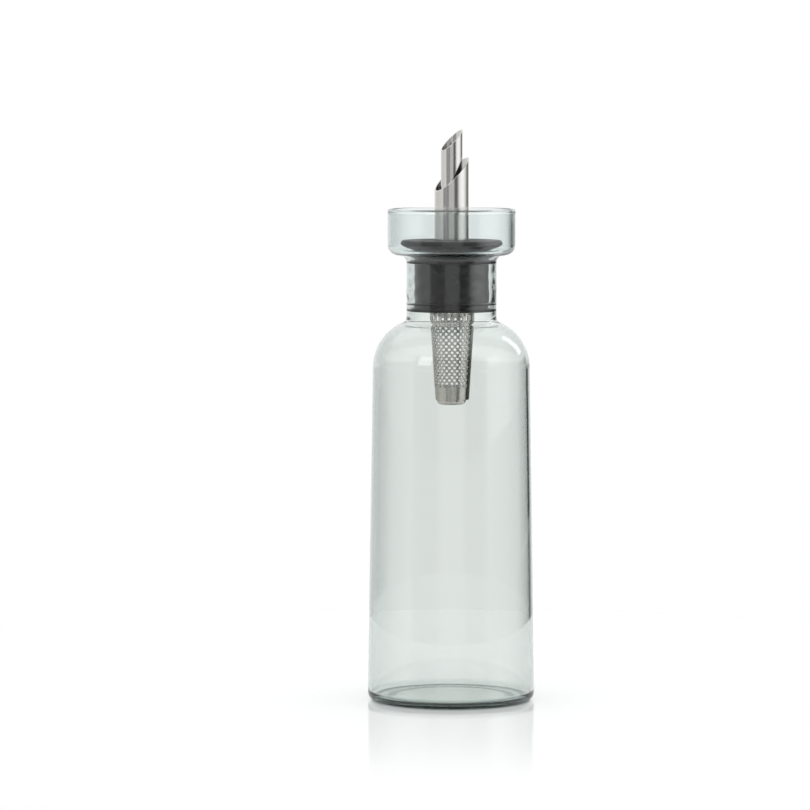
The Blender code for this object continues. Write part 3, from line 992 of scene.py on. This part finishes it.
# %% [markdown]
# ## Sieve
# The sieve is a rolled cone of sheet with staggered rings of holes and a seam on
# the right. The columns draw together towards the bottom. Half way round, the
# rings have moved on by half a step: then a hole in front has one behind it in
# the ring below, and the camera, which looks down a little, sees daylight
# through both. The seam takes up what is left over of a step, and in the upper
# half the rings rise towards the back, as they do on a sheet that is rolled from
# the flat. Drilling leaves the sheet's thickness in each hole.

# %% Lay out the holes
PLAIN_BAND = 5.5 * MM         # sheet without holes at the lower end
HOLE_RADIUS = 0.69 * MM
ROW_STEP = 1.325 * MM
RISE_FROM = 14.0 * MM         # height on the cone where the rings begin to rise
RISE = 0.006 / MM             # the rise grows with the square of the height above it
RISE_END = 2.95 * MM
COLUMN_STEP = math.radians(17.5)
FIRST_COLUMN = math.radians(1.5)
COLUMNS = range(-17, 6)       # once round, from the seam to the seam
SEAM = math.radians(75)
SEAM_MARGIN = 1.6 * HOLE_RADIUS


def hole_places():
    """Places of the holes on the cone, their Z axes square to the sheet."""
    low = CONE_LOW + PLAIN_BAND + HOLE_RADIUS
    high = CONE_TOP - 2 * HOLE_RADIUS
    places = []
    for row in range(int((high - low) / ROW_STEP) + 1):
        front_z = low + row * ROW_STEP
        rise = min(RISE * max(0.0, front_z - CONE_LOW - RISE_FROM) ** 2, RISE_END)
        shift = 0.0 if row % 2 else 0.5
        for column in COLUMNS:
            turn = FIRST_COLUMN + COLUMN_STEP * (column + shift)
            z = front_z + rise * (1 - math.cos(turn)) / 2
            radius = cone_radius(z)
            margin = SEAM_MARGIN / radius
            if z > high or not SEAM - 2 * math.pi + margin < turn < SEAM - margin:
                continue
            places.append(
                Matrix.Rotation(turn - math.pi / 2, 4, "Z")
                @ Matrix.Translation((radius, 0.0, z))
                @ Matrix.Rotation(math.pi / 2 + CONE_HALF_ANGLE, 4, "Y")
            )
    return places


# %% Shape the cone
SHEET = 0.3 * MM
HOLE_SIDES = 14
CONE_STEPS = 126
cone_steel = make_sieve_steel("sieve_steel", CONE_LOW_RADIUS - SHEET / 2)


def make_cone():
    places = hole_places()
    outline = [
        (CONE_TOP_RADIUS - SHEET, CONE_TOP),
        (CONE_TOP_RADIUS, CONE_TOP),
        (CONE_LOW_RADIUS, CONE_LOW),
        (CONE_LOW_RADIUS - SHEET, CONE_LOW),
    ]
    blank = turned("sieve_blank", outline, CONE_STEPS)
    cone = cut_holes(
        blank, places, HOLE_RADIUS, 6 * SHEET, HOLE_SIDES, "sieve_cone_sheet",
    )
    finish_piece(cone, cone_steel, "sieve", ["sieve_cone"])
    print("holes in the sieve:", len(places))


make_cone()

# %% [markdown]
# At the seam one end of the sheet laps over the other. It stands off the cone a
# little and lies in its own shade, so its steel is painted darker: painted shade.
# Its edge is notched where the sheet was cut through its holes.

# %% Shape the seam's lap
LAP_ROOT = (66, 0.05)         # degrees from the front, and millimetres off the cone
LAP_BEND = (82, 0.12)
LAP_EDGE = (98, 0.55)
LAP_NOTCH = (3, 0.1)
LAP_TOP = CORE_LOW - 0.5 * MM
LAP_STEPS = 160
# Painted shade: the share of its colour that the lap's steel keeps.
LAP_PAINTED_SHADE = 0.25
lap_steel = make_sieve_steel("sieve_lap_steel", CONE_LOW_RADIUS - SHEET, LAP_PAINTED_SHADE)


def lap_section(z):
    """Corners of the strip at a height, the lower and the upper one of each pair."""
    notch = 0.5 + 0.5 * math.cos(math.pi * z / ROW_STEP)
    edge = (LAP_EDGE[0] - LAP_NOTCH[0] * notch, LAP_EDGE[1] - LAP_NOTCH[1] * notch)
    spots = []
    for turn, stand in (LAP_ROOT, LAP_BEND, edge):
        angle = math.radians(turn)
        for lift in (stand * MM, stand * MM + SHEET):
            radius = cone_radius(z) + lift
            spots.append((radius * math.sin(angle), -radius * math.cos(angle), z))
    return spots


def make_lap():
    shape = bmesh.new()
    rows = []
    for step in range(LAP_STEPS + 1):
        z = CONE_LOW + (LAP_TOP - CONE_LOW) * step / LAP_STEPS
        rows.append([shape.verts.new(spot) for spot in lap_section(z)])
    ring = [0, 2, 4, 5, 3, 1]
    for low, high in zip(rows, rows[1:]):
        for first, second in zip(ring, ring[1:] + ring[:1]):
            shape.faces.new((low[first], low[second], high[second], high[first]))
    for row in (rows[0], rows[-1]):
        shape.faces.new([row[index] for index in ring])
    bmesh.ops.recalc_face_normals(shape, faces=shape.faces)
    lap = new_object("sieve_cone_lap", mesh_from(shape, "sieve_lap"))
    shade(lap.data)
    finish_piece(lap, lap_steel, "sieve", ["sieve_cone"])


make_lap()

# %% [markdown]
# A drawn cup closes the lower end. It sits inside the plain band of the cone,
# and ends just under the lowest ring of holes so that it closes none of them.

# %% Shape the cup
CUP_SHEET = 0.4 * MM
CUP_CORNER = 1.8 * MM
CUP_EDGE = 0.1 * MM
CUP_END = CONE_LOW + PLAIN_BAND - 0.5 * MM
CUP_LOW_RADIUS = CONE_LOW_RADIUS - SHEET - FIT
cup_steel = make_sieve_steel("sieve_cup_steel", CUP_LOW_RADIUS - CUP_SHEET / 2)


def make_cup():
    share = (CUP_END - CONE_LOW) / (CUP_TOP - CONE_LOW)
    end_radius = CUP_LOW_RADIUS + share * (CUP_RADIUS - CUP_LOW_RADIUS)
    corners = [
        (0.0, CUP_LOW + CUP_SHEET, 0),
        (CUP_LOW_RADIUS - CUP_SHEET, CUP_LOW + CUP_SHEET, CUP_CORNER - CUP_SHEET),
        (CUP_LOW_RADIUS - CUP_SHEET, CONE_LOW, 0),
        (end_radius - CUP_SHEET, CUP_END, CUP_EDGE),
        (end_radius, CUP_END, CUP_EDGE),
        (CUP_LOW_RADIUS, CONE_LOW, 0),
        (CUP_LOW_RADIUS, CUP_LOW, CUP_CORNER),
        (0.0, CUP_LOW, 0),
    ]
    outline = rounded(corners, steps=8)
    cup = turned("sieve_cup_drawn", outline, CONE_STEPS, closed=False)
    finish_piece(cup, cup_steel, "sieve", ["sieve_cup"])


make_cup()
